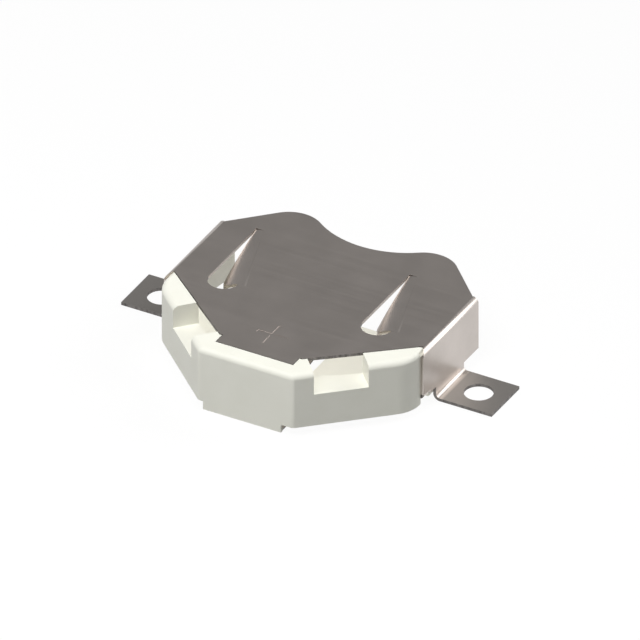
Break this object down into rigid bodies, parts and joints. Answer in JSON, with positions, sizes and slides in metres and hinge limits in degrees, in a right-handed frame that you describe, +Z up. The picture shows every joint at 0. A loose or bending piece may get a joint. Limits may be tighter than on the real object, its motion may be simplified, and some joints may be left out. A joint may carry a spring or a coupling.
{
  "type": "coin cell holder",
  "caption": "Surface-mount holder for a 20 mm coin cell: stamped metal cover with sprung fingers and solder tabs, clinched over a moulded housing with a negative spring contact.",
  "frame": {"origin": "middle of the part's outline on the board plane, under the cover", "axes": "+X across the two solder tabs, +Y towards the rear, where the cell slides in, +Z up from the board"},
  "size_m": [0.0314, 0.0196, 0.0053],
  "materials": {
    "housing": "moulded ivory, lightly satin",
    "cover": "plated stainless sheet, satin",
    "negative_contact": "plated spring strip, satin"
  },
  "bodies": {
    "root": {"housing": "housing", "cover": "cover", "negative_contact": "negative_contact"}
  },
  "joints": []
}
